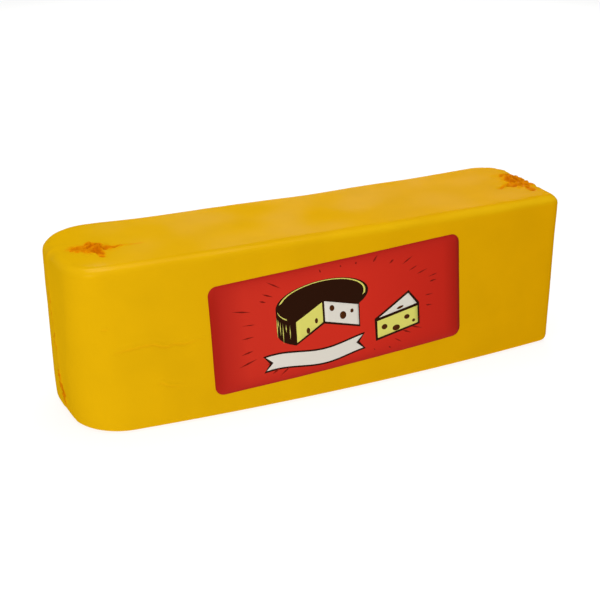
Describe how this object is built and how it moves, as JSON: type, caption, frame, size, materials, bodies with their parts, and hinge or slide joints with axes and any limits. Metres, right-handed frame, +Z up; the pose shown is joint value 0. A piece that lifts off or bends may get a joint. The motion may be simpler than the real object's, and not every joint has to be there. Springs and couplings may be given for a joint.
{
  "type": "gouda block",
  "caption": "Long rounded loaf of gouda cheese in a yellow coat under clear shrink film, gathered at both ends, with a red label on its front.",
  "frame": {"origin": "centre of the base, on the surface that the loaf rests on", "axes": "+X along the loaf to its right end as seen from the label, +Y from the label to the back, +Z up"},
  "size_m": [0.3216, 0.0866, 0.1021],
  "materials": {
    "coat": "yellow cheese coat under clear shrink film, satin",
    "label": "printed red label, satin"
  },
  "bodies": {
    "root": {"loaf": "coat", "label": "label"}
  },
  "joints": []
}
